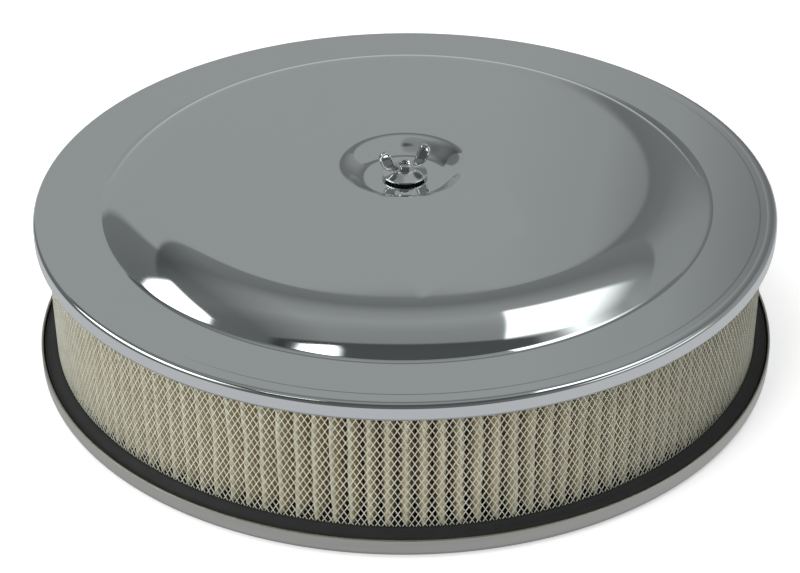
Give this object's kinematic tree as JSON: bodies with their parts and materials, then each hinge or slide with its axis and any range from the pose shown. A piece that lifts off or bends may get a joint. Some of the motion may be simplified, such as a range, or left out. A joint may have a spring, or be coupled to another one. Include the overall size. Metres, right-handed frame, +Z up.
{
  "type": "air filter housing",
  "caption": "Round open-element air cleaner: chromed domed lid, pleated paper filter ring in wire mesh, shallow base pan with centre neck, stud and wing nut.",
  "frame": {"origin": "centre of the carburettor opening, at the underside of the base pan", "axes": "+Z up along the stud, from the base pan to the wing nut; the wings lie 22 degrees from X towards Y"},
  "size_m": [0.3603, 0.3604, 0.1022],
  "materials": {
    "base_steel": "satin, brushed round the rim",
    "gasket_rubber": "matte",
    "seal_rubber": "matte moulded",
    "filter_paper": "matte pleated paper",
    "screen_wire": "bright expanded mesh",
    "lid_chrome": "mirror",
    "stud_steel": "zinc plated",
    "nut_chrome": "mirror"
  },
  "bodies": {
    "base": {"base_pan": "base_steel", "neck_gasket": "gasket_rubber"},
    "element": {"lower_end_seal": "seal_rubber", "upper_end_seal": "seal_rubber", "pleated_media": "filter_paper", "media_seam_clip": "screen_wire", "outer_screen": "screen_wire", "inner_screen": "screen_wire"},
    "lid": {"lid": "lid_chrome", "stud_grommet": "gasket_rubber", "centre_stud": "stud_steel"},
    "washer": {"sealing_washer": "gasket_rubber"},
    "nut": {"wing_nut": "nut_chrome"}
  },
  "joints": [
    {"name": "element_lift", "type": "slide", "parent": "base", "child": "element", "axis": [0, 0, 1], "range_m": [0, 0.12]},
    {"name": "lid_lift", "type": "slide", "parent": "element", "child": "lid", "axis": [0, 0, 1], "range_m": [0, 0.12]},
    {"name": "nut_lift", "type": "slide", "parent": "lid", "child": "washer", "axis": [0, 0, 1], "range_m": [0, 0.0048]},
    {"name": "nut_turn", "type": "hinge", "parent": "washer", "child": "nut", "pos_m": [0, 0, 0.09], "axis": [0, 0, 1], "range_deg": [0, 1260]}
  ],
  "couplings": [
    {"joint": "nut_lift", "follows": "nut_turn", "m_per_rad": 0.00020213}
  ]
}
